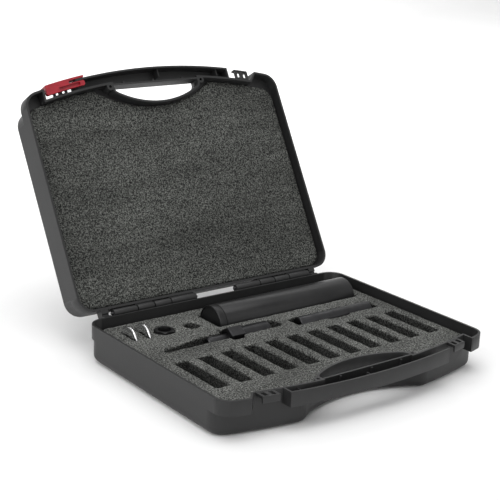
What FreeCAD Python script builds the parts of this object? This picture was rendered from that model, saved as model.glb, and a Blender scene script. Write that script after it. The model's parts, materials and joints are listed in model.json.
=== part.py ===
"""Carrying case with a leather-punch tool kit: two matching half shells, foam inserts and tools.

Millimetres, +Z up. The origin is the middle of the lower shell's flat bottom: x = 0 midway between the
side walls, y = 0 midway between the two ends of the side walls, the handle at -Y and the hinge at +Y.
Both halves come from one shape. The upper half is that shape turned over and swung open; only its plate
under the latch lies deeper, to leave room for the latch.
"""

import FreeCAD, Part
import math
import os
import re
import Sketcher

Vector = FreeCAD.Vector
Rotation = FreeCAD.Rotation
Placement = FreeCAD.Placement

DIMENSIONS = {
    # half shells
    "case_width": 340.0,
    "case_back": 123.3,
    "shell_rise": 41.0,
    "rim_gap": 0.15,
    "band_bottom": 25.5,
    "side_step": 1.5,
    "wall": 2.5,
    "arch_radius": 640.0,
    "arch_front": 142.0,
    "band_inset": 12.0,
    "corner_round": 18.0,
    "bottom_round": 8.0,
    "jog_left": 142.0,
    "jog_left_foot": 131.5,
    "jog_slope_front": 16.0,
    "jog_slope_back": 28.0,
    "jog_reach": 40.0,
    "jog_right": 144.0,
    "recess_radius": 136.4,
    "recess_depth": 100.5,
    "recess_round": 14.0,
    "opening_radius": 110.0,
    "opening_depth": 101.0,
    "opening_half": 57.0,
    "opening_round": 7.0,
    # handle
    "grip_half": 103.0,
    "grip_skin": 2.2,
    "grip_back": 123.0,
    "rib_half": 0.5,
    "rib_drop": 2.5,
    "nub_half": 1.1,
    "nub_reach": 2.2,
    "eyelet_x": 61.5,
    "eyelet_y": 122.0,
    "eyelet_hole": 1.7,
    # slotted plates beside the handle
    "plate_start": 113.0,
    "plate_end": 131.0,
    "plate_thick": 3.0,
    "plate_low_top": 35.5,
    "plate_margin": 1.0,
    "plate_low_margin": 4.4,
    "plate_slot": 4.0,
    # hinge
    "hinge_y": 129.0,
    "knuckle_radius": 4.3,
    "knuckle_side_gap": 0.6,
    "pin_radius": 1.55,
    "pin_bore": 1.6,
    "pin_start": 25.5,
    "pin_end": 135.5,
    "web_thick": 2.8,
    "rail_thick": 2.4,
    "rail_foot": 11.0,
    "open_angle": 120.3,
    "stop_reach": 3.9,
    "stop_drop": 7.0,
    # sliding latch
    "latch_start": 92.0,
    "latch_end": 141.5,
    "latch_bridge": 111.6,
    "latch_skin": 2.4,
    "latch_play": 0.5,
    "latch_tongue": 4.1,
    "latch_tongue_back": 8.6,
    "latch_recess": 2.4,
    "recess_lip": 1.2,
    "recess_lead": 6.0,
    "recess_length": 27.0,
    # foam
    "foam_side_gap": 1.5,
    "foam_pad_inset": 7.0,
    "foam_floor": 3.0,
    "foam_pad_top": 7.0,
    "foam_face": 31.0,
    "foam_split": 12.0,
    "slot_pitch": 27.9,
    "slot_middle": 6.1,
    "slot_width": 16.2,
    "slot_front": 71.0,
    "slot_length": 72.5,
    # tools
    "tube_radius": 20.0,
    "tube_wall": 2.5,
    "tube_start": -32.0,
    "tube_end": 149.5,
    "tube_y": 80.6,
    "cap_length": 9.0,
    "cap_groove": 0.7,
    "rod_radius": 8.5,
    "rod_start": 38.5,
    "rod_end": 140.5,
    "rod_y": 29.5,
    "rod_z": 26.5,
    "driver_y": 39.0,
    "driver_z": 25.5,
    "driver_flats": 21.0,
    "driver_joint": -49.0,
    "driver_end": 4.0,
    "handle_collar": 17.0,
    "handle_radius": 9.5,
    "shank_radius": 5.5,
    "shank_length": 26.0,
    "disc_radius": 15.5,
    "disc_thick": 2.4,
    "disc_bore": 6.5,
    "disc_y": 85.5,
    "disc_z": 25.8,
    "nut_x": -100.0,
    "nut_y": 80.5,
    "nut_flats": 20.0,
    "nut_thick": 9.0,
    "nut_top": 32.4,
    "nut_bore": 7.2,
    "small_hole_x": -66.0,
    "small_hole_y": 79.0,
    "small_hole_radius": 9.2,
}

document = FreeCAD.newDocument("PunchCase")
sheet = document.addObject("Spreadsheet::Sheet", "Dimensions")
for row, (alias, value) in enumerate(DIMENSIONS.items(), start=1):
    sheet.set(f"A{row}", alias)
    sheet.set(f"B{row}", str(value))
    sheet.setAlias(f"B{row}", alias)
document.recompute()

NAME = re.compile(r"[a-z_]+")
nodes = []


# --- formulas and small builders ---------------------------------------------------------------------


def formula(text):
    """Point every dimension named in a formula at its cell."""
    return NAME.sub(lambda word: f"Dimensions.{word.group()}" if word.group() in DIMENSIONS else word.group(),
                    str(text))


def size(text):
    """The present value of a formula of dimensions, in millimetres."""
    value = sheet.evalExpression(formula(text))
    return float(getattr(value, "Value", value))


def bind(item, **formulas):
    """Bind properties to formulas; a double underscore stands for a dot in the property's path."""
    for path, text in formulas.items():
        item.setExpression(path.replace("__", "."), formula(text))
    return item


def box(name, low, high):
    """Box between two corners, each given as three formulas."""
    item = document.addObject("Part::Box", name)
    spans = [f"({top}) - ({bottom})" for bottom, top in zip(low, high)]
    return bind(item, Placement__Base__x=low[0], Placement__Base__y=low[1], Placement__Base__z=low[2],
                Length=spans[0], Width=spans[1], Height=spans[2])


def post(name, radius, x, y, low, high):
    """Upright cylinder about (x, y)."""
    item = document.addObject("Part::Cylinder", name)
    return bind(item, Radius=radius, Height=f"({high}) - ({low})",
                Placement__Base__x=x, Placement__Base__y=y, Placement__Base__z=low)


def arch(name, inset, low, high):
    """Great cylinder whose front is the bowed front of the case, set back by inset."""
    return post(name, f"arch_radius - ({inset})", "0", "arch_radius - arch_front", low, high)


def bar(name, radius, start, end, y, z):
    """Cylinder along X."""
    item = document.addObject("Part::Cylinder", name)
    item.Placement = Placement(Vector(), Rotation(Vector(0, 1, 0), 90))
    return bind(item, Radius=radius, Height=f"({end}) - ({start})",
                Placement__Base__x=start, Placement__Base__y=y, Placement__Base__z=z)


def cut(name, base, *tools):
    """Base less the tools."""
    tool = tools[0] if len(tools) == 1 else fuse(f"{name}_tools", *tools)
    item = document.addObject("Part::Cut", name)
    item.Base = base
    item.Tool = tool
    return item


def fuse(name, *pieces):
    """All pieces in one."""
    item = document.addObject("Part::MultiFuse", name)
    item.Shapes = list(pieces)
    item.Refine = True
    return item


def common(name, *pieces):
    """What all pieces share."""
    item = document.addObject("Part::MultiCommon", name)
    item.Shapes = list(pieces)
    return item


def rounded(name, base, radius, wanted):
    """Fillet the edges of base that wanted() accepts."""
    document.recompute()
    chosen = [number for number, edge in enumerate(base.Shape.Edges, start=1) if wanted(edge)]
    if not chosen:
        raise RuntimeError(f"{name}: no edge to round")
    item = document.addObject("Part::Fillet", name)
    item.Base = base
    item.Edges = [(number, radius, radius) for number in chosen]
    return item


def upright(edge):
    """True for a vertical straight edge."""
    direction = edge.valueAt(edge.LastParameter) - edge.valueAt(edge.FirstParameter)
    return abs(direction.x) < 1e-6 and abs(direction.y) < 1e-6 and abs(direction.z) > 1e-6


def at_height(z):
    """Edges that lie wholly at one height."""
    def wanted(edge):
        bounds = edge.BoundBox
        return abs(bounds.ZMin - z) < 1e-4 and abs(bounds.ZMax - z) < 1e-4
    return wanted


def node(item, label, placement=None):
    """Name a finished sub-part and put it in its place."""
    item.Label = label
    if placement is not None:
        item.Placement = placement
    nodes.append(item)
    return item


def origin_plane(body, role):
    """One of a body's own origin planes."""
    return next(plane for plane in body.Origin.OriginFeatures if plane.Role == role)


def sketch_on(body, name, role, offset="0"):
    """Sketch on one of the body's origin planes, moved along its normal."""
    sketch = body.newObject("Sketcher::SketchObject", name)
    sketch.AttachmentSupport = [(origin_plane(body, role), "")]
    sketch.MapMode = "FlatFace"
    bind(sketch, AttachmentOffset__Base__z=offset)
    return sketch


def outline(sketch, corners):
    """Closed polygon whose every corner is held by two bound distances from the sketch's origin."""
    places = [Vector(size(across), size(along), 0) for across, along in corners]
    count = len(places)
    for index in range(count):
        sketch.addGeometry(Part.LineSegment(places[index], places[(index + 1) % count]), False)
    for index in range(count):
        sketch.addConstraint(Sketcher.Constraint("Coincident", index, 2, (index + 1) % count, 1))
    for index, (across, along) in enumerate(corners):
        for kind, text in (("DistanceX", across), ("DistanceY", along)):
            held = sketch.addConstraint(Sketcher.Constraint(kind, -1, 1, index, 1, size(text)))
            sketch.setExpression(f"Constraints[{held}]", formula(text))


def turned(label, profile, x="0", y="0", z="0"):
    """Body turned about an axis parallel to X; the profile holds (x, radius) corners."""
    body = document.addObject("PartDesign::Body", label)
    sketch = sketch_on(body, f"{label}_profile", "XY_Plane")
    outline(sketch, profile)
    spin = body.newObject("PartDesign::Revolution", f"{label}_turned")
    spin.Profile = sketch
    spin.ReferenceAxis = (sketch, ["H_Axis"])
    spin.Angle = 360.0
    bind(body, Placement__Base__x=x, Placement__Base__y=y, Placement__Base__z=z)
    return node(body, label)


# --- half shell --------------------------------------------------------------------------------------

FRONT = "-arch_front - 10"
RIM = "shell_rise - rim_gap"
SIDE = "case_width / 2"


def handle_opening(name, growth, low, high):
    """Finger opening behind the handle: a shallow arc closed at both sides, grown outwards by growth."""
    disc = post(f"{name}_arc", f"opening_radius + ({growth})", "0", "-opening_depth - opening_radius", low, high)
    sides = box(f"{name}_sides", (f"-opening_half - ({growth})", FRONT, low),
                (f"opening_half + ({growth})", "0", high))
    shape = common(f"{name}_sharp", disc, sides)
    return rounded(name, shape, size(f"opening_round + ({growth})"),
                   lambda edge: upright(edge) and edge.CenterOfMass.y > -size("arch_front"))


def jog_space(name, growth, low, high):
    """Space in front of the set-back wall between the two corner blocks, grown into them by growth."""
    body = document.addObject("PartDesign::Body", name)
    sketch = sketch_on(body, f"{name}_plan", "XY_Plane", low)
    left_slope = f"jog_left + ({growth})"
    left_foot = f"jog_left_foot + ({growth})"
    right = f"jog_right + ({growth})"
    outline(sketch, [(f"-({left_slope})", FRONT), (f"-({left_slope})", "-arch_front + jog_slope_front"),
                     (f"-({left_foot})", "-arch_front + jog_slope_back"), (f"-({left_foot})", "-arch_front + jog_reach"),
                     (right, "-arch_front + jog_reach"), (right, FRONT)])
    block = body.newObject("PartDesign::Pad", f"{name}_block")
    block.Profile = sketch
    bind(block, Length=f"({high}) - ({low})")
    return cut(f"{name}_open", body, arch(f"{name}_arch", f"band_inset + ({growth})", low, high))


def lower_block(name, inset, low, high, edge_round):
    """Solid of the drafted tray below the band, set inwards by inset, with its bottom edge rounded."""
    block = box(f"{name}_block", (f"-{SIDE} + side_step + ({inset})", FRONT, low),
                (f"{SIDE} - side_step - ({inset})", f"case_back - side_step - ({inset})", high))
    bowed = common(f"{name}_bowed", block, arch(f"{name}_arch", f"band_inset + ({inset})", low, high))
    scooped = cut(f"{name}_scooped", bowed,
                  post(f"{name}_recess", f"recess_radius + ({inset})", "0", "-recess_depth - recess_radius",
                       f"({low}) - 1", f"({high}) + 1"))
    inner = size(f"corner_round - ({inset})")
    cornered = rounded(f"{name}_cornered", scooped, inner,
                       lambda edge: upright(edge) and abs(edge.CenterOfMass.x) > size(SIDE) - 20)
    eased = rounded(f"{name}_eased", cornered, size(f"recess_round - ({inset})"),
                    lambda edge: upright(edge) and 60 < abs(edge.CenterOfMass.x) < 100)
    return rounded(name, eased, edge_round, at_height(size(low)))


def band_block(name, inset, low, high):
    """Solid of the deeper band round the rim, set inwards by inset."""
    block = box(f"{name}_block", (f"-{SIDE} + ({inset})", FRONT, low),
                (f"{SIDE} - ({inset})", f"case_back - ({inset})", high))
    bowed = common(f"{name}_bowed", block, arch(f"{name}_arch", inset, low, high))
    return rounded(f"{name}_cornered", bowed, size(f"corner_round - ({inset})"), upright)


def make_tray(side, placement):
    """Half shell: tray, rim band and the wall round the finger opening."""
    ledge = "band_bottom + wall"
    lower = lower_block(f"{side}_lower", "0", "0", "band_bottom", size("bottom_round"))
    band = band_block(f"{side}_band", "0", "band_bottom", RIM)
    band_front = cut(f"{side}_band_front", band, jog_space(f"{side}_jog", "0", "band_bottom - 1", "shell_rise + 1"),
                     handle_opening(f"{side}_opening", "0", "band_bottom - 1", "shell_rise + 1"))
    hollow = lower_block(f"{side}_hollow", "wall", "wall", ledge, size("bottom_round - wall"))
    band_inner = band_block(f"{side}_band_inner", "wall", ledge, "shell_rise + 2")
    band_hollow = cut(f"{side}_band_hollow", band_inner,
                      jog_space(f"{side}_jog_wall", "wall", f"{ledge} - 1", "shell_rise + 3"),
                      handle_opening(f"{side}_opening_wall", "wall", f"{ledge} - 1", "shell_rise + 3"))
    shell = cut(f"{side}_shell", fuse(f"{side}_outer", lower, band_front), hollow, band_hollow)
    eyelets = []
    holes = []
    for name, sign in (("left", "-"), ("right", "")):
        spot = (f"{sign}eyelet_x", "-eyelet_y")
        eyelets.append(post(f"{side}_eyelet_{name}", "eyelet_hole + wall", *spot, "band_bottom", RIM))
        holes.append(post(f"{side}_eyelet_hole_{name}", "eyelet_hole", *spot, "0", "shell_rise + 1"))
    trimmed = cut(f"{side}_eyelets", fuse(f"{side}_eyelet_pair", *eyelets),
                  handle_opening(f"{side}_opening_trim", "0", "band_bottom - 1", "shell_rise + 1"))
    tray = cut(f"{side}_tray_drilled", fuse(f"{side}_tray_whole", shell, trimmed), *holes)
    return node(tray, f"{side}_tray", placement)


GRIP_RIBS = (-88, -7)
GRIP_NUBS = (-37, 3, 42)


def make_grip(side, placement):
    """Handle bow: a channel between the bowed front skin and a straight inner wall, open at the rim."""
    front_bow = common(f"{side}_grip_bow", arch(f"{side}_grip_outer", "0", "band_bottom", RIM),
                       box(f"{side}_grip_width", ("-grip_half", FRONT, "band_bottom"), ("grip_half", "-100", RIM)))
    crescent = cut(f"{side}_grip_crescent", front_bow,
                   arch(f"{side}_grip_rear", "band_inset", "0", "shell_rise + 1"))
    back_strip = common(f"{side}_grip_back_strip",
                        handle_opening(f"{side}_grip_opening", "0", "band_bottom", RIM),
                        box(f"{side}_grip_back_box", ("-opening_half", "-arch_front + 5", "band_bottom"),
                            ("opening_half", "-grip_back", RIM)),
                        arch(f"{side}_grip_front_limit", "1", "band_bottom", RIM))
    whole = fuse(f"{side}_grip_whole", crescent, back_strip)
    floor = "band_bottom + grip_skin"
    above = "shell_rise + 1"
    spans = fuse(f"{side}_grip_channel_spans",
                 box(f"{side}_grip_channel_middle", ("-opening_half", FRONT, floor),
                     ("opening_half", "-grip_back - grip_skin", above)),
                 box(f"{side}_grip_channel_left", ("-grip_half + grip_skin", FRONT, floor),
                     ("-opening_half", "-100", above)),
                 box(f"{side}_grip_channel_right", ("opening_half", FRONT, floor), ("grip_half + 5", "-100", above)))
    channel = common(f"{side}_grip_channel", spans,
                     arch(f"{side}_grip_inner", "grip_skin", "0", "shell_rise + 2"))
    hollow = cut(f"{side}_grip_hollow", whole, channel)
    ribs = []
    for index, x in enumerate(GRIP_RIBS):
        blade = box(f"{side}_grip_rib_{index}", (f"{x} - rib_half", FRONT, "band_bottom + 1"),
                    (f"{x} + rib_half", "-grip_back - 1", "shell_rise - rib_drop"))
        ribs.append(blade)
    web = common(f"{side}_grip_ribs", fuse(f"{side}_grip_blades", *ribs),
                 cut(f"{side}_grip_rib_space", arch(f"{side}_grip_rib_front", "1", "band_bottom", RIM),
                     arch(f"{side}_grip_rib_rear", "band_inset", "0", "shell_rise + 1")))
    nubs = []
    for index, x in enumerate(GRIP_NUBS):
        nub = box(f"{side}_grip_nub_{index}",
                  (f"{x} - nub_half", "-grip_back - grip_skin - nub_reach", "band_bottom + 1"),
                  (f"{x} + nub_half", "-grip_back - grip_skin + 1", "shell_rise - 1"))
        nubs.append(nub)
    return node(fuse(f"{side}_grip_ribbed", hollow, web, *nubs), f"{side}_grip", placement)


PLATE_WINDOWS = (0.27, 0.73)


def make_plate(side, name, start, end, top, margin, placement):
    """Slotted plate that stands out from the set-back wall, with two openings and a front lip."""
    label = f"{side}_{name}"
    under = f"({top}) - plate_thick"
    slab = cut(f"{label}_slab",
               common(f"{label}_bow", arch(f"{label}_front", margin, f"({top}) - 7", top),
                      box(f"{label}_box", (start, FRONT, f"({top}) - 7"), (end, "-100", top))),
               arch(f"{label}_rear", "band_inset", "0", "shell_rise + 1"))
    relief = common(f"{label}_relief", arch(f"{label}_lip", f"({margin}) + 2", "0", under),
                    box(f"{label}_relief_box", (f"({start}) - 1", FRONT, "0"), (f"({end}) + 1", "-100", under)))
    slots = []
    for index, share in enumerate(PLATE_WINDOWS):
        middle = f"({start}) + {share} * (({end}) - ({start}))"
        cutter = box(f"{label}_slot_{index}", (f"{middle} - plate_slot / 2", FRONT, "0"),
                     (f"{middle} + plate_slot / 2", "-100", "shell_rise + 1"))
        slots.append(cutter)
    window = common(f"{label}_windows", fuse(f"{label}_slot_pair", *slots),
                    cut(f"{label}_window_band", arch(f"{label}_window_front", f"({margin}) + 2", "0", "shell_rise"),
                        arch(f"{label}_window_rear", "band_inset - 1.8", "-1", "shell_rise + 1")))
    return node(cut(f"{label}_cut", slab, relief, window), label, placement)


KNUCKLES_RIGHT = ((27, 61), (82.5, 104))
KNUCKLES_LEFT = ((-82.5, -61), (-134, -104))
STOP_SPAN = (137.5, 146)


def make_leaf(side, name, spans, stop, placement):
    """Hinge leaf: a rail on the back wall, a web and barrel for each knuckle, and an opening stop."""
    label = f"{side}_hinge_leaf_{name}"
    pieces = []
    ends = [edge for span in (*spans, stop) for edge in span]
    pieces.append(box(f"{label}_rail", (f"{min(ends)}", "case_back", "shell_rise - rail_foot"),
                      (f"{max(ends)}", "case_back + rail_thick", "shell_rise - 6.5")))
    for index, (start, end) in enumerate(spans):
        low = f"{start} + knuckle_side_gap"
        high = f"{end} - knuckle_side_gap"
        pieces.append(box(f"{label}_web_{index}", (low, "case_back", "shell_rise - knuckle_radius"),
                          (high, "hinge_y", "shell_rise - knuckle_radius + web_thick")))
        pieces.append(box(f"{label}_rib_{index}", (low, "case_back", "shell_rise - 7"),
                          (high, "case_back + rail_thick", "shell_rise - knuckle_radius + 1")))
        pieces.append(bar(f"{label}_barrel_{index}", "knuckle_radius", low, high, "hinge_y", "shell_rise"))
    body = document.addObject("PartDesign::Body", f"{label}_stop")
    sketch = sketch_on(body, f"{label}_stop_side", "YZ_Plane", str(stop[0]))
    outline(sketch, [("case_back", "shell_rise - rail_foot"), ("case_back", "shell_rise - 0.3"),
                     ("hinge_y + 0.12", "shell_rise - 0.3"), ("hinge_y + stop_reach", "shell_rise - stop_drop"),
                     ("hinge_y + stop_reach", "shell_rise - rail_foot")])
    block = body.newObject("PartDesign::Pad", f"{label}_stop_block")
    block.Profile = sketch
    bind(block, Length=f"{stop[1]} - {stop[0]}")
    pieces.append(body)
    bore = bar(f"{label}_bore", "pin_bore", f"{min(ends)} - 5", f"{max(ends)} + 5", "hinge_y", "shell_rise")
    return node(cut(f"{label}_bored", fuse(f"{label}_whole", *pieces), bore), label, placement)


# --- foam --------------------------------------------------------------------------------------------


def foam_slab(name, inset, front, back, low, high):
    """Slab of foam inside the shell, kept clear of its walls."""
    margin = f"wall + side_step + ({inset})"
    block = box(f"{name}_block", (f"-{SIDE} + {margin}", front, low), (f"{SIDE} - ({margin})", back, high))
    bowed = common(f"{name}_bowed", block, arch(f"{name}_arch", f"band_inset + wall + ({inset})", low, high))
    scooped = cut(f"{name}_scooped", bowed,
                  post(f"{name}_recess", f"recess_radius + wall + ({inset})", "0", "-recess_depth - recess_radius",
                       f"({low}) - 1", f"({high}) + 1"))
    return rounded(f"{name}_cornered", scooped, size("corner_round - wall"),
                   lambda edge: upright(edge) and abs(edge.CenterOfMass.x) > size(SIDE) - 20
                   and abs(edge.CenterOfMass.y - size("foam_split")) > 1)


SLOT_COUNT = 11
DISCS = {"disc_left": -140.0, "disc_right": -123.5}


def make_base_foam():
    """Lower insert: a plain pad, a front layer with the row of punch slots, a rear layer for the tools."""
    wall_back = "case_back - side_step - wall"
    pad = foam_slab("base_foam_pad_slab", "foam_pad_inset", FRONT, f"{wall_back} - foam_pad_inset", "foam_floor",
                    "foam_pad_top")
    node(pad, "base_foam_pad")
    front = foam_slab("base_foam_front_slab", "foam_side_gap", FRONT, "foam_split", "foam_pad_top",
                      "foam_face")
    slots = []
    for index in range(SLOT_COUNT):
        middle = f"slot_middle + {index - SLOT_COUNT // 2} * slot_pitch"
        slots.append(box(f"slot_{index}", (f"{middle} - slot_width / 2", "-slot_front", "0"),
                         (f"{middle} + slot_width / 2", "-slot_front + slot_length", "foam_face + 1")))
    front_cut = cut("base_foam_front_cut", front, *slots)
    node(rounded("base_foam_front_rounded", front_cut, 1.5,
                 lambda edge: upright(edge) and -size("slot_front") - 1 < edge.CenterOfMass.y < 2), "base_foam_front")
    rear = foam_slab("base_foam_rear_slab", "foam_side_gap", "foam_split", f"{wall_back} - foam_side_gap",
                     "foam_pad_top", "foam_face")
    top = "foam_face + 1"
    pockets = [
        box("tube_pocket", ("tube_start - cap_length - 3", "tube_y - tube_radius - 0.6", "foam_pad_top - 1"),
            ("tube_end + 2.5", "tube_y + tube_radius + 0.8", top)),
        box("rod_pocket", ("rod_start - 6", "rod_y - rod_radius - 0.8", "rod_z - rod_radius - 0.4"),
            ("rod_end + 8", "rod_y + rod_radius + 3", top)),
        box("rod_notch", ("rod_start + 35", "rod_y - rod_radius - 4", "foam_pad_top + 8"),
            ("rod_start + 66", "rod_y", top)),
        box("driver_pocket", ("driver_joint - 1", "driver_y - driver_flats / 2 - 0.8", "driver_z - 12.8"),
            ("driver_joint + handle_collar + 1", "driver_y + driver_flats / 2 + 0.8", top)),
        box("handle_pocket", ("driver_joint", "driver_y - handle_radius - 0.5", "driver_z - handle_radius - 0.5"),
            ("driver_end + 7", "driver_y + handle_radius + 0.5", top)),
        post("handle_pocket_end", "handle_radius + 0.5", "driver_end + 7", "driver_y",
             "driver_z - handle_radius - 0.5", top),
        box("driver_notch", ("driver_joint - 4", "driver_y - 18", "driver_z - 10"),
            ("driver_joint + 13", "driver_y + 12.5", top)),
        post("small_hole", "small_hole_radius", "small_hole_x", "small_hole_y", "foam_pad_top + 4", top),
    ]
    for name, x in DISCS.items():
        pockets.append(box(f"{name}_pocket", (f"{x} - disc_thick / 2 - 0.5", "disc_y - disc_radius - 0.5",
                                              "foam_pad_top - 1"),
                           (f"{x} + disc_thick / 2 + 0.5", "disc_y + disc_radius + 0.5", top)))
    pockets.append(tapered_pocket())
    pockets.append(nut_pocket())
    node(cut("base_foam_rear_cut", rear, *pockets), "base_foam_rear")


def pocket_body(name, corners, low):
    """Upright pocket cutter with a polygonal plan, from low to just above the foam's face."""
    body = document.addObject("PartDesign::Body", name)
    sketch = sketch_on(body, f"{name}_plan", "XY_Plane", low)
    outline(sketch, corners)
    block = body.newObject("PartDesign::Pad", f"{name}_block")
    block.Profile = sketch
    bind(block, Length=f"foam_face + 1 - ({low})")
    return body


def tapered_pocket():
    """Pocket of the driver's shank, narrowing to the left."""
    reach = "driver_joint - shank_length"
    return pocket_body("taper_pocket",
                       [("driver_joint + 1", "driver_y - 10.5"), ("driver_joint + 1", "driver_y + 6.5"),
                        (f"{reach} - 4", "driver_y + 6.5"), (f"{reach} - 57", "driver_y - 4.5"),
                        (f"{reach} - 57", "driver_y - 11")], "driver_z - 7")


def hexagon(x, y, flats, growth):
    """Corners of a hexagon with two corners on the line along X through its middle."""
    reach = f"(({flats}) / 2 + {growth}) / cos(30)"
    return [(f"{x} + {reach} * cos({angle})", f"{y} + {reach} * sin({angle})") for angle in range(0, 360, 60)]


def nut_pocket():
    """Hexagonal recess that the nut lies in."""
    return pocket_body("nut_recess", hexagon("nut_x", "nut_y", "nut_flats", 0.9), "nut_top - nut_thick - 0.4")


def make_lid_foam(placement):
    """Plain upper pad with its lower edges bevelled to clear the shell's rounded corner."""
    upper = foam_slab("lid_foam_upper", "foam_side_gap", FRONT, "case_back - side_step - wall - foam_side_gap",
                      "foam_pad_top", "foam_face")
    lower = foam_slab("lid_foam_lower", "foam_pad_inset", FRONT,
                      "case_back - side_step - wall - foam_pad_inset", "foam_floor", "foam_pad_top")
    node(fuse("lid_foam_whole", upper, lower), "lid_foam", placement)


# --- latch -------------------------------------------------------------------------------------------


def curved_bar(name, outer_inset, inner_inset, start, end, low, high):
    """Bar that follows the bowed front between two insets."""
    outer = common(f"{name}_outer", arch(f"{name}_outer_arch", outer_inset, low, high),
                   box(f"{name}_span", (start, FRONT, low), (end, "-90", high)))
    return cut(name, outer, arch(f"{name}_inner_arch", inner_inset, f"({low}) - 1", f"({high}) + 1"))


def make_latch(placement):
    """Sliding latch: outer skin, tongue in the handle's channel and the bridge that joins them."""
    face = "shell_rise - 0.4"
    under = f"{face} - latch_tongue"
    skin = curved_bar("latch_outer_skin", "-latch_play - latch_skin", "-latch_play", "latch_start", "latch_end",
                      "band_bottom + 0.5", face)
    tongue = curved_bar("latch_inner_tongue", "grip_skin + latch_play", "latch_tongue_back", "latch_start",
                        "latch_end", under, face)
    bridge = curved_bar("latch_joining_web", "-latch_play - 0.5", "grip_skin + latch_play + 0.5", "latch_bridge",
                        "latch_end", "band_bottom + 2.5", face)
    soft_skin = rounded("latch_soft_skin", skin, 0.6, upright)
    soft_tongue = rounded("latch_soft_tongue", tongue, 2.0, upright)
    solid = fuse("latch_solid", soft_skin, soft_tongue, bridge)
    recess = curved_bar("latch_thumb_recess", "grip_skin + latch_play + recess_lip", "latch_tongue_back - recess_lip",
                        "latch_start + recess_lead", "latch_start + recess_lead + recess_length",
                        f"{face} - latch_recess", "shell_rise + 1")
    return node(cut("latch_recessed", solid, recess), "latch_slider", placement)


# --- tools -------------------------------------------------------------------------------------------


def make_tools():
    """The loose tools where they lie in the foam."""
    tube_z = "foam_pad_top + tube_radius + 0.1"
    bore = "tube_radius - tube_wall"
    turned("holder_tube", [("tube_start", "0"), ("tube_start", "tube_radius"), ("tube_end - 1.5", "tube_radius"),
                           ("tube_end", "tube_radius - 1.5"), ("tube_end", "0"), ("tube_end - tube_wall", "0"),
                           ("tube_end - tube_wall", bore), ("tube_start + tube_wall", bore),
                           ("tube_start + tube_wall", "0")], y="tube_y", z=tube_z)
    cap = "tube_start - cap_length"
    turned("holder_cap", [(f"{cap} + 0.8", "0"), (f"{cap} + 0.8", "tube_radius - 2"), (cap, "tube_radius - 1.4"),
                          (cap, "tube_radius - 0.6"), (f"{cap} + 0.6", "tube_radius"),
                          ("tube_start - cap_groove", "tube_radius"),
                          ("tube_start - cap_groove", "tube_radius - cap_groove"),
                          ("tube_start", "tube_radius - cap_groove"), ("tube_start", "0")], y="tube_y", z=tube_z)
    turned("guide_rod", [("rod_start + 3", "0"), ("rod_start", "3"), ("rod_start", "rod_radius - 0.8"),
                         ("rod_start + 0.8", "rod_radius"), ("rod_end - 0.8", "rod_radius"),
                         ("rod_end", "rod_radius - 0.8"), ("rod_end", "0")], y="rod_y", z="rod_z")
    tip = "driver_joint - shank_length"
    turned("driver_shank", [(tip, "0"), (tip, "shank_radius - 1.2"), (f"{tip} + 1.2", "shank_radius"),
                            ("driver_joint", "shank_radius"), ("driver_joint", "0")],
           y="driver_y", z="driver_z")
    make_driver_handle()
    for name, x in DISCS.items():
        half = "disc_thick / 2"
        turned(name, [(f"-{half}", "disc_bore"), (f"-{half}", "disc_radius - 0.7"),
                      (f"-{half} + 0.7", "disc_radius"), (f"{half} - 0.7", "disc_radius"),
                      (half, "disc_radius - 0.7"), (half, "disc_bore")],
               x=x, y="disc_y", z="disc_z")
    make_nut()


def make_driver_handle():
    """Hexagonal collar with one corner up and both ends chamfered, and the round grip behind it."""
    reach = "driver_flats / 2 / cos(30)"
    corners = [(f"{reach} * cos({angle})", f"{reach} * sin({angle})") for angle in range(30, 390, 60)]
    body = document.addObject("PartDesign::Body", "driver_handle")
    sketch = sketch_on(body, "driver_handle_section", "YZ_Plane", "driver_joint")
    outline(sketch, corners)
    block = body.newObject("PartDesign::Pad", "driver_handle_bar")
    block.Profile = sketch
    bind(block, Length="handle_collar")
    bind(body, Placement__Base__y="driver_y", Placement__Base__z="driver_z")
    document.recompute()
    chamfer = body.newObject("PartDesign::Chamfer", "driver_handle_chamfer")
    ends = [f"Edge{number}" for number, edge in enumerate(block.Shape.Edges, start=1)
            if edge.BoundBox.XLength < 1e-6]
    chamfer.Base = (block, ends)
    chamfer.Size = 0.8
    document.recompute()
    profile = sketch_on(body, "driver_handle_profile", "XY_Plane")
    outline(profile, [("driver_joint + 1", "0"), ("driver_joint + 1", "handle_radius"),
                      ("driver_end - 1.5", "handle_radius"), ("driver_end", "handle_radius - 1.5"),
                      ("driver_end", "0")])
    grip = body.newObject("PartDesign::Revolution", "driver_handle_grip")
    grip.Profile = profile
    grip.ReferenceAxis = (profile, ["H_Axis"])
    grip.Angle = 360.0
    body.Tip = grip
    node(body, "driver_handle")


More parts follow.
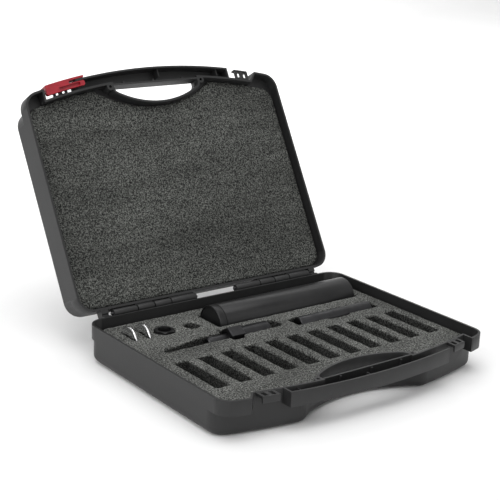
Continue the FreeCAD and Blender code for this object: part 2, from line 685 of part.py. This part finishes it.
def make_nut():
    """Hexagonal nut lying flat, its upper corners turned down."""
    low = "nut_top - nut_thick"
    body = document.addObject("PartDesign::Body", "hex_nut")
    sketch = sketch_on(body, "hex_nut_plan", "XY_Plane")
    outline(sketch, hexagon("0", "0", "nut_flats", 0))
    block = body.newObject("PartDesign::Pad", "hex_nut_block")
    block.Profile = sketch
    bind(block, Length="nut_thick")
    hole = sketch_on(body, "hex_nut_hole", "XY_Plane")
    hole.addGeometry(Part.Circle(Vector(), Vector(0, 0, 1), size("nut_bore")), False)
    held = hole.addConstraint(Sketcher.Constraint("Radius", 0, size("nut_bore")))
    hole.addConstraint(Sketcher.Constraint("Coincident", 0, 3, -1, 1))
    hole.setExpression(f"Constraints[{held}]", formula("nut_bore"))
    drilled = body.newObject("PartDesign::Pocket", "hex_nut_bore")
    drilled.Profile = hole
    drilled.Type = 1
    drilled.Reversed = True
    turning = sketch_on(body, "hex_nut_turning", "XZ_Plane")
    outer = "nut_flats / 2"
    outline(turning, [(f"{outer}", "nut_thick + 0.5"), (f"{outer}", "nut_thick"),
                      (f"{outer} + 2.4", "nut_thick - 1.3"), (f"{outer} + 2.4", "nut_thick + 0.5")])
    groove = body.newObject("PartDesign::Groove", "hex_nut_corners")
    groove.Profile = turning
    groove.ReferenceAxis = (turning, ["V_Axis"])
    groove.Angle = 360.0
    bind(body, Placement__Base__x="nut_x", Placement__Base__y="nut_y", Placement__Base__z=low)
    node(body, "hex_nut")


# --- assembly ----------------------------------------------------------------------------------------

axis_point = Vector(0, size("hinge_y"), size("shell_rise"))
swing = Placement(axis_point, Rotation(Vector(1, 0, 0), -size("open_angle")))
turn_over = Placement(Vector(0, 0, 2 * size("shell_rise")), Rotation(Vector(0, 1, 0), 180))
LID = swing * Placement(-axis_point, Rotation()) * turn_over

for side, place in (("base", Placement()), ("lid", LID)):
    make_tray(side, place)
    make_grip(side, place)
    make_plate(side, "catch_plate", "-plate_end", "-plate_start", RIM, "plate_margin", place)
    make_leaf(side, "left", KNUCKLES_LEFT, (-STOP_SPAN[1], -STOP_SPAN[0]), place)
    make_leaf(side, "right", KNUCKLES_RIGHT, STOP_SPAN, place)
make_plate("base", "latch_plate", "plate_start", "plate_end", RIM, "plate_margin", Placement())
make_plate("lid", "latch_plate", "plate_start", "plate_end", "plate_low_top", "plate_low_margin", LID)
make_base_foam()
make_lid_foam(LID)
make_latch(LID)
for name, start, end in (("hinge_pin_left", "-pin_end", "-pin_start"), ("hinge_pin_right", "pin_start", "pin_end")):
    turned(name, [(start, "0"), (start, "pin_radius"), (end, "pin_radius"), (end, "0")],
           y="hinge_y", z="shell_rise")
make_tools()

document.recompute()
for item in document.Objects:
    if "Invalid" in item.State or "Error" in item.State:
        raise RuntimeError(f"{item.Label} failed: {item.State}")
os.makedirs("parts", exist_ok=True)
for item in nodes:
    shape = item.Shape
    if shape.isNull() or not shape.isValid() or shape.Volume <= 0:
        raise RuntimeError(f"{item.Label} has no valid shape")
    shape.exportStep(os.path.join("parts", f"{item.Label}.step"))
    print(f"{item.Label:24s} solids {len(shape.Solids)} volume {shape.Volume / 1000:9.2f} cm3")
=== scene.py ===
"""Looks of an open carrying case that holds a hole-punch kit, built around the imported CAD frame.

Metres, in the shared frame: the lower shell stands on z = 0, its handle towards -Y and the hinge towards +Y.
"""

import json
import math

import bmesh
import bpy
from mathutils import Matrix, Vector, noise


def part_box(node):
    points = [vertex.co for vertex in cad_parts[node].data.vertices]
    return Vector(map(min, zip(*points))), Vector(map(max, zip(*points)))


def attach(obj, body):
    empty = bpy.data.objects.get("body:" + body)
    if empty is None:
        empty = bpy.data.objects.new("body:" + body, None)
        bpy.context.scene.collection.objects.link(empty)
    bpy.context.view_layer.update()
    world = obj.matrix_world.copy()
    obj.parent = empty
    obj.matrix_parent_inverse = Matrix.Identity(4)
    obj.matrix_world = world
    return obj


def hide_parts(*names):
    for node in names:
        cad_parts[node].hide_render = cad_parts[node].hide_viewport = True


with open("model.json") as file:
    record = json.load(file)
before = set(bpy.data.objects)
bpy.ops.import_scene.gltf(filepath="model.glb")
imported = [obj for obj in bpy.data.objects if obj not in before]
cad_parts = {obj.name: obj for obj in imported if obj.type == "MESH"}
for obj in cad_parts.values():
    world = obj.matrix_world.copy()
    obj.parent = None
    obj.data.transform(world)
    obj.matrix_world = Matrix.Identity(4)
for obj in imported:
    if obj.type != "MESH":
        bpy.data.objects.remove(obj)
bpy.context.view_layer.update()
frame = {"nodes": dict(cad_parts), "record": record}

MM = 0.001
NODES = frame["nodes"]


# --- material helpers --------------------------------------------------------------------------------


class Look:
    """A material under construction: adds nodes, joins them and sets plain sockets."""

    def __init__(self, name):
        self.material = bpy.data.materials.new(name)
        self.material.use_nodes = True
        self.tree = self.material.node_tree
        self.shader = self.tree.nodes["Principled BSDF"]
        self.place = self.add("ShaderNodeTexCoord").outputs["Object"]

    def add(self, kind, inputs=None, **settings):
        node = self.tree.nodes.new(kind)
        for key, value in settings.items():
            setattr(node, key, value)
        for key, value in (inputs or {}).items():
            if isinstance(value, bpy.types.NodeSocket):
                self.tree.links.new(value, node.inputs[key])
            else:
                node.inputs[key].default_value = value
        return node

    def stretched(self, scale, turn=(0.0, 0.0, 0.0)):
        """The object's coordinates, scaled differently along each axis."""
        inputs = {"Vector": self.place, "Scale": scale, "Rotation": turn}
        return self.add("ShaderNodeMapping", inputs).outputs[0]

    def noise(self, scale, detail, roughness=0.55, place=None):
        inputs = {"Vector": place or self.place, "Scale": scale, "Detail": detail, "Roughness": roughness}
        return self.add("ShaderNodeTexNoise", inputs).outputs["Fac"]

    def cells(self, scale):
        return self.add("ShaderNodeTexVoronoi", {"Vector": self.place, "Scale": scale}).outputs["Distance"]

    def span(self, value, low, high, to_low=0.0, to_high=1.0):
        """Value from low..high to to_low..to_high, clamped."""
        return self.add("ShaderNodeMapRange", {"Value": value, "From Min": low, "From Max": high,
                                               "To Min": to_low, "To Max": to_high}).outputs["Result"]

    def maths(self, operation, first, second):
        return self.add("ShaderNodeMath", {0: first, 1: second}, operation=operation).outputs[0]

    def mix(self, share, first, second):
        """Colour between two colours."""
        node = self.add("ShaderNodeMix", {"Factor": share, "A": first, "B": second}, data_type="RGBA")
        return node.outputs["Result"]

    def colours(self, share, *stops):
        """Colour ramp: stops are (position, grey or colour)."""
        node = self.add("ShaderNodeValToRGB", {"Fac": share})
        ramp = node.color_ramp
        while len(ramp.elements) < len(stops):
            ramp.elements.new(0.5)
        for element, (position, colour) in zip(ramp.elements, stops):
            element.position = position
            element.color = paint(colour)
        return node.outputs["Color"]

    def bump(self, height, distance, strength, under=None):
        inputs = {"Height": height, "Distance": distance, "Strength": strength}
        if under is not None:
            inputs["Normal"] = under
        return self.add("ShaderNodeBump", inputs).outputs["Normal"]

    def finish(self, **sockets):
        for key, value in sockets.items():
            socket = self.shader.inputs[key.replace("_", " ")]
            if isinstance(value, bpy.types.NodeSocket):
                self.tree.links.new(value, socket)
            else:
                socket.default_value = value
        return self.material


def paint(colour):
    """A grey level or a red, green, blue triple as a full colour."""
    if isinstance(colour, (int, float)):
        colour = (colour, colour, colour)
    return (*colour, 1.0)


# --- materials ---------------------------------------------------------------------------------------


def shell_plastic():
    """Black moulded plastic with a fine pebbled grain, cloudy patches of sheen and faint scuffs."""
    look = Look("shell_plastic")
    grain = look.cells(1500.0)
    cloud = look.noise(14.0, detail=4.0)
    slanted = look.stretched((1.0, 6.0, 1.0), turn=(0.2, 0.1, 0.6))
    scuff = look.noise(60.0, detail=6.0, roughness=0.7, place=slanted)
    scuffed = look.span(scuff, 0.62, 0.74)
    base = look.colours(look.span(cloud, 0.3, 0.7),
                        (0.0, (0.0125, 0.0126, 0.0128)), (1.0, (0.018, 0.0181, 0.0183)))
    colour = look.mix(look.maths("MULTIPLY", scuffed, 0.25), base, paint((0.035, 0.035, 0.036)))
    rough = look.maths("ADD", look.span(cloud, 0.3, 0.7, 0.43, 0.50), look.maths("MULTIPLY", scuffed, 0.05))
    normal = look.bump(grain, 0.12 * MM, 0.35)
    normal = look.bump(look.noise(260.0, detail=2.0), 0.08 * MM, 0.3, normal)
    return look.finish(Base_Color=colour, Roughness=rough, Normal=normal, Specular_IOR_Level=0.42)


SHADE_START = 0.7 * MM
SHADE_END = 2.6 * MM
SHADE_IN_CUTS = 0.34


def foam(name, light, dark, pore, face=None):
    """Open foam, speckled by its pores, with faint streaks along X; darker in cuts below the height face."""
    look = Look(name)
    speck = look.noise(640.0, detail=3.0, roughness=0.75)
    pores = look.cells(560.0)
    cloud = look.noise(22.0, detail=3.0, roughness=0.55, place=look.stretched((0.35, 1.0, 1.6)))
    tone = look.colours(look.span(speck, 0.41, 0.60), (0.0, pore), (0.45, dark), (1.0, light))
    hole = look.span(pores, 0.08, 0.42, 0.3, 1.0)
    patch = look.span(cloud, 0.35, 0.65, 0.74, 1.16)
    shade = look.maths("MULTIPLY", hole, patch)
    if face is not None:
        level = look.add("ShaderNodeSeparateXYZ", {0: look.place}).outputs["Z"]
        inside = look.span(level, face - SHADE_END, face - SHADE_START, SHADE_IN_CUTS, 1.0)
        shade = look.maths("MULTIPLY", shade, inside)
    colour = look.add("ShaderNodeMix", {"Factor": 1.0, "A": tone, "B": shade}, data_type="RGBA",
                      blend_type="MULTIPLY").outputs["Result"]
    height = look.maths("ADD", speck, look.maths("MULTIPLY", pores, 0.8))
    normal = look.bump(height, 0.9 * MM, 0.8)
    return look.finish(Base_Color=colour, Roughness=0.95, Normal=normal, Specular_IOR_Level=0.2)


def latch_plastic():
    """Red moulded plastic, semi-gloss, with faint flow marks and scuffed patches."""
    look = Look("latch_plastic")
    flow = look.noise(120.0, detail=4.0, roughness=0.6, place=look.stretched((1.0, 3.0, 3.0)))
    colour = look.colours(look.span(flow, 0.3, 0.7), (0.0, (0.22, 0.004, 0.011)), (1.0, (0.34, 0.006, 0.018)))
    rough = look.span(flow, 0.3, 0.7, 0.30, 0.40)
    normal = look.bump(look.cells(1300.0), 0.1 * MM, 0.2)
    return look.finish(Base_Color=colour, Roughness=rough, Normal=normal,
                       Coat_Weight=0.15, Coat_Roughness=0.25)


def ground_steel(colour, roughness):
    """Steel with fine marks drawn out along X and small stains."""
    look = Look("ground_steel")
    marks = look.noise(900.0, detail=4.0, roughness=0.6, place=look.stretched((1.0, 30.0, 30.0)))
    stain = look.noise(90.0, detail=5.0, roughness=0.6)
    darker = tuple(0.72 * part for part in colour)
    tone = look.mix(look.span(stain, 0.45, 0.75), paint(colour), paint(darker))
    rough = look.maths("ADD", look.span(marks, 0.3, 0.7, roughness - 0.06, roughness + 0.08),
                       look.span(stain, 0.5, 0.8, 0.0, 0.12))
    normal = look.bump(marks, 0.04 * MM, 0.35)
    return look.finish(Base_Color=tone, Roughness=rough, Normal=normal, Metallic=1.0)


def polished_steel():
    """Bright polished steel with hair-fine turning marks."""
    look = Look("polished_steel")
    marks = look.noise(700.0, detail=3.0, roughness=0.5, place=look.stretched((40.0, 1.0, 1.0)))
    smear = look.noise(70.0, detail=3.0)
    rough = look.maths("ADD", look.span(marks, 0.3, 0.7, 0.05, 0.10), look.span(smear, 0.5, 0.8, 0.0, 0.08))
    return look.finish(Base_Color=paint((0.78, 0.78, 0.79)), Roughness=rough, Metallic=1.0,
                       Normal=look.bump(marks, 0.02 * MM, 0.2))


def black_oxide():
    """Blackened steel, satin, with a dusty bloom and worn patches."""
    look = Look("black_oxide")
    grain = look.noise(500.0, detail=4.0, roughness=0.65)
    bloom = look.noise(45.0, detail=4.0, roughness=0.6, place=look.stretched((0.5, 1.0, 1.0)))
    tone = look.colours(look.span(bloom, 0.3, 0.75),
                        (0.0, (0.009, 0.009, 0.0095)), (1.0, (0.019, 0.019, 0.0195)))
    rough = look.maths("ADD", look.span(bloom, 0.3, 0.7, 0.30, 0.42), look.span(grain, 0.3, 0.7, -0.03, 0.05))
    normal = look.bump(grain, 0.05 * MM, 0.3)
    return look.finish(Base_Color=tone, Roughness=rough, Normal=normal, Metallic=0.35)


def floor_paper():
    """White paper sweep with a barely visible mottling."""
    look = Look("floor_paper")
    tone = look.colours(look.noise(6.0, detail=3.0), (0.0, 0.88), (1.0, 0.92))
    return look.finish(Base_Color=tone, Roughness=0.9)


MATERIALS = {
    "shell": shell_plastic(),
    "latch": latch_plastic(),
    "steel": ground_steel(colour=(0.052, 0.052, 0.054), roughness=0.36),
    "polished": polished_steel(),
    "black_steel": black_oxide(),
}


def dress(item, material):
    """Give an object one material in place of any it has."""
    item.data.materials.clear()
    item.data.materials.append(material)


# --- edges of the rigid parts ------------------------------------------------------------------------


SAME_POINT = 0.01 * MM
SHARP_ANGLE = math.radians(35.0)


def soften(item, width):
    """Small rounded edges, so that corners catch the light."""
    weld = item.modifiers.new("weld", "WELD")
    weld.merge_threshold = SAME_POINT
    bevel = item.modifiers.new("soft_edges", "BEVEL")
    bevel.width = width
    bevel.segments = 2
    bevel.limit_method = "ANGLE"
    bevel.angle_limit = SHARP_ANGLE
    bevel.use_clamp_overlap = True
    bevel.harden_normals = True
    bevel.miter_outer = "MITER_ARC"


EDGES = {
    "shell": 0.45 * MM,
    "latch": 0.5 * MM,
    "steel": 0.25 * MM,
    "polished": 0.2 * MM,
    "black_steel": 0.3 * MM,
}

node_slots = {entry["node"]: entry["material_slot"] for entry in frame["record"]["subparts"]}
for name, item in NODES.items():
    slot = node_slots[name]
    if slot in MATERIALS:
        dress(item, MATERIALS[slot])
        soften(item, EDGES[slot])


# --- foam --------------------------------------------------------------------------------------------


def merged_copy(name, sources):
    """New object holding copies of the meshes of several CAD nodes."""
    mesh = bmesh.new()
    for source in sources:
        mesh.from_mesh(NODES[source].data)
    bmesh.ops.remove_doubles(mesh, verts=mesh.verts, dist=SAME_POINT)
    data = bpy.data.meshes.new(name)
    mesh.to_mesh(data)
    mesh.free()
    item = bpy.data.objects.new(name, data)
    bpy.context.scene.collection.objects.link(item)
    return item


def apply_modifiers(item):
    """Replace the mesh by what its modifiers make of it."""
    graph = bpy.context.evaluated_depsgraph_get()
    data = bpy.data.meshes.new_from_object(item.evaluated_get(graph))
    item.modifiers.clear()
    item.data = data


def remesh(item, voxel):
    """Rebuild the surface from an even grid of points, smoothly shaded."""
    modifier = item.modifiers.new("remesh", "REMESH")
    modifier.mode = "VOXEL"
    modifier.voxel_size = voxel
    modifier.adaptivity = 0.0
    modifier.use_smooth_shade = True
    apply_modifiers(item)


def move_points(item, shift):
    """Move every point by shift(place, normal), with all places and normals read before any point moves."""
    points = [(vertex.co.copy(), vertex.normal.copy()) for vertex in item.data.vertices]
    moved = []
    for place, normal in points:
        moved.extend(place + shift(place, normal))
    item.data.vertices.foreach_set("co", moved)
    item.data.update()


FINE_GRAIN = 420.0
COARSE_GRAIN = 130.0
GRAIN_OFFSET = Vector((3.1, 7.7, 1.3))


def crumble(item, fine, coarse, rise=None):
    """Uneven foam surface: every point moves along its normal by layered noise and by rise(place)."""
    def shift(place, normal):
        small = noise.noise(place * FINE_GRAIN)
        medium = noise.noise(place * COARSE_GRAIN + GRAIN_OFFSET)
        return normal * (fine * small + coarse * medium + (rise(place) if rise else 0.0))
    move_points(item, shift)


LIP_DEPTH = 3.0 * MM


def fill_out(item, facing, side, lip):
    """Push the sides of a pad outwards to meet its tray, by side, and by lip more next to its open face."""
    face = max(vertex.co.dot(facing) for vertex in item.data.vertices)

    def shift(place, normal):
        outwards = normal - facing * normal.dot(facing)
        near = max(0.0, 1.0 - (face - place.dot(facing)) / LIP_DEPTH)
        return outwards * (side + lip * near)
    move_points(item, shift)


base_foam = merged_copy("base_foam_insert", ("base_foam_front", "base_foam_rear", "base_foam_pad"))
remesh(base_foam, voxel=1.25 * MM)
crumble(base_foam, fine=0.22 * MM, coarse=0.35 * MM)
dress(base_foam, foam("base_foam", light=(0.225, 0.229, 0.217), dark=(0.084, 0.086, 0.081),
                      pore=(0.012, 0.012, 0.011), face=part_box("base_foam_front")[1].z))
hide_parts("base_foam_front", "base_foam_rear", "base_foam_pad")
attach(base_foam, "base")

# the lid stands open by this angle; its pad faces forwards and down, and its handle edge is up
OPEN_ANGLE = math.radians(120.3)
LID_FACING = -Vector((0.0, math.sin(OPEN_ANGLE), math.cos(OPEN_ANGLE)))
LID_UP = Vector((0.0, LID_FACING.z, -LID_FACING.y))

# marks in the pad: middle, half width, half length and depth, which is negative for a ridge
PRESS_MARKS = (
    (Vector((-0.0407, 0.1673, 0.0868)), 3.0 * MM, 7.0 * MM, 3.6 * MM),
    (Vector((-0.0315, 0.1607, 0.0754)), 2.6 * MM, 6.0 * MM, -1.8 * MM),
)


def pressed(place):
    """Height of the pad's surface at place, over the plain pad, from the marks."""
    height = 0.0
    for middle, half_width, half_length, depth in PRESS_MARKS:
        across = (place.x - middle.x) / half_width
        along = (place - middle).dot(LID_UP) / half_length
        height -= depth * math.exp(-across * across - along * along)
    return height


lid_foam = merged_copy("lid_foam_pad", ("lid_foam",))
remesh(lid_foam, voxel=2.0 * MM)
fill_out(lid_foam, LID_FACING, side=0.9 * MM, lip=1.2 * MM)
crumble(lid_foam, fine=0.12 * MM, coarse=0.2 * MM, rise=pressed)
# the lid pad gets the base foam's colours at about two thirds of their brightness: painted shade, since the
# pad faces forwards and down, away from the overhead light
dress(lid_foam, foam("lid_foam_painted_shade", light=(0.152, 0.157, 0.146), dark=(0.052, 0.054, 0.050),
                     pore=(0.008, 0.008, 0.008)))
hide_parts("lid_foam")
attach(lid_foam, "lid")


# --- studio ------------------------------------------------------------------------------------------


def make_floor():
    """Paper sweep: a flat floor that curves up far behind the case."""
    half, front, reach, rise, bend, steps = 6.0, -4.0, 3.5, 4.0, 1.2, 12
    profile = [(front, 0.0), (reach - bend, 0.0)]
    for step in range(1, steps + 1):
        turn = math.radians(90.0 * step / steps)
        profile.append((reach - bend + bend * math.sin(turn), bend - bend * math.cos(turn)))
    profile.append((reach, rise))
    mesh = bmesh.new()
    rows = [[mesh.verts.new((side, along, height)) for side in (-half, half)] for along, height in profile]
    for near, far in zip(rows, rows[1:]):
        mesh.faces.new((near[0], near[1], far[1], far[0])).smooth = True
    data = bpy.data.meshes.new("paper_sweep")
    mesh.to_mesh(data)
    mesh.free()
    item = bpy.data.objects.new("paper_sweep", data)
    item.location.z = -0.5 * MM
    bpy.context.scene.collection.objects.link(item)
    dress(item, floor_paper())


def add_light(name, place, target, size, power):
    """Square soft light at place, turned towards target."""
    data = bpy.data.lights.new(name, "AREA")
    data.shape = "SQUARE"
    data.size = size
    data.energy = power
    item = bpy.data.objects.new(name, data)
    item.location = place
    item.rotation_mode = "QUATERNION"
    item.rotation_quaternion = (Vector(target) - Vector(place)).to_track_quat("-Z", "Y")
    bpy.context.scene.collection.objects.link(item)


def make_world(grey, strength):
    """Even light of one grey from all round."""
    world = bpy.data.worlds.new("studio")
    world.use_nodes = True
    background = world.node_tree.nodes["Background"]
    background.inputs["Color"].default_value = paint(grey)
    background.inputs["Strength"].default_value = strength
    bpy.context.scene.world = world


def make_camera():
    """Camera in front, to the left and above: heading east of +Y, tilt below the horizon and a small roll."""
    place = Vector((-0.77347, -0.92691, 0.49133))
    heading, tilt, roll = (math.radians(angle) for angle in (37.832, 16.963, 2.287))
    data = bpy.data.cameras.new("camera")
    data.sensor_width = 36.0
    data.lens = 88.84
    data.clip_start = 0.05
    data.clip_end = 30.0
    item = bpy.data.objects.new("camera", data)
    turn = (Matrix.Rotation(-heading, 4, "Z") @ Matrix.Rotation(math.pi / 2 - tilt, 4, "X")
            @ Matrix.Rotation(roll, 4, "Z"))
    item.matrix_world = Matrix.Translation(place) @ turn
    bpy.context.scene.collection.objects.link(item)
    bpy.context.scene.camera = item


bpy.context.scene.view_settings.view_transform = "Standard"
make_floor()
make_world(grey=1.0, strength=0.6)
add_light("overhead_soft", place=(-0.3, -0.2, 1.9), target=(0.0, 0.05, 0.05), size=1.6, power=19.0)
add_light("left_soft", place=(-1.9, -0.5, 1.1), target=(0.0, 0.0, 0.1), size=1.4, power=15.0)
add_light("backdrop_soft", place=(0.9, 1.3, 1.9), target=(1.5, 2.8, 0.2), size=1.6, power=45.0)
add_light("front_fill", place=(0.6, -2.0, 0.9), target=(0.0, 0.0, 0.1), size=1.4, power=4.0)
make_camera()
